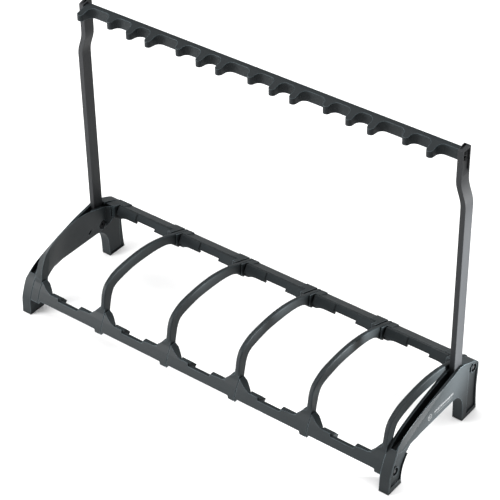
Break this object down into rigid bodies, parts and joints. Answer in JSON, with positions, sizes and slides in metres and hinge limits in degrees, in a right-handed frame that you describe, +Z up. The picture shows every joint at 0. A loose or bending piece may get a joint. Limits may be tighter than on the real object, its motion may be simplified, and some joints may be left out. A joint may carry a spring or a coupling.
{
  "type": "guitar rack",
  "caption": "Folding guitar rack: moulded bays with arched dividers between two end cheeks, padded rails, and two uprights carrying a lobed neck rest",
  "frame": {"origin": "middle of the footprint on the floor, under the centre of the rack", "axes": "+X along the rack to the right end seen from the front, +Y to the back, +Z up"},
  "size_m": [0.8066, 0.267, 0.563],
  "materials": {
    "moulding": "fine textured black moulding",
    "upright_plastic": "satin black with faint lengthwise drag marks",
    "neck_rubber": "soft matt black rubber",
    "rail_pad": "soft matt black rubber",
    "foot_rubber": "matt black rubber",
    "zinc_steel": "zinc plated",
    "black_steel": "black oxide",
    "bush_plastic": "smooth dark nylon"
  },
  "bodies": {
    "base": {"left_cheek": "moulding", "right_cheek": "moulding", "left_end_frame": "moulding", "bay_module_1": "moulding", "bay_module_2": "moulding", "bay_module_3": "moulding", "bay_module_4": "moulding", "bay_module_5": "moulding", "front_pad_1": "rail_pad", "front_pad_2": "rail_pad", "front_pad_3": "rail_pad", "front_pad_4": "rail_pad", "front_pad_5": "rail_pad", "rear_pad_1": "rail_pad", "rear_pad_2": "rail_pad", "rear_pad_3": "rail_pad", "rear_pad_4": "rail_pad", "rear_pad_5": "rail_pad", "front_tie_rod": "zinc_steel", "rear_tie_rod": "zinc_steel", "tie_rod_nuts": "black_steel", "tie_rod_washers": "black_steel", "pivot_bolts": "black_steel", "pivot_nuts": "black_steel", "foot_pads": "foot_rubber"},
    "folding_frame": {"left_upright": "upright_plastic", "right_upright": "upright_plastic", "neck_rest": "neck_rubber", "neck_rest_screws": "black_steel", "pivot_bushes": "bush_plastic"}
  },
  "joints": [
    {"name": "frame_fold", "type": "hinge", "parent": "base", "child": "folding_frame", "pos_m": [0, 0.07175, 0.086], "axis": [1, 0, 0], "range_deg": [0, 88]}
  ]
}
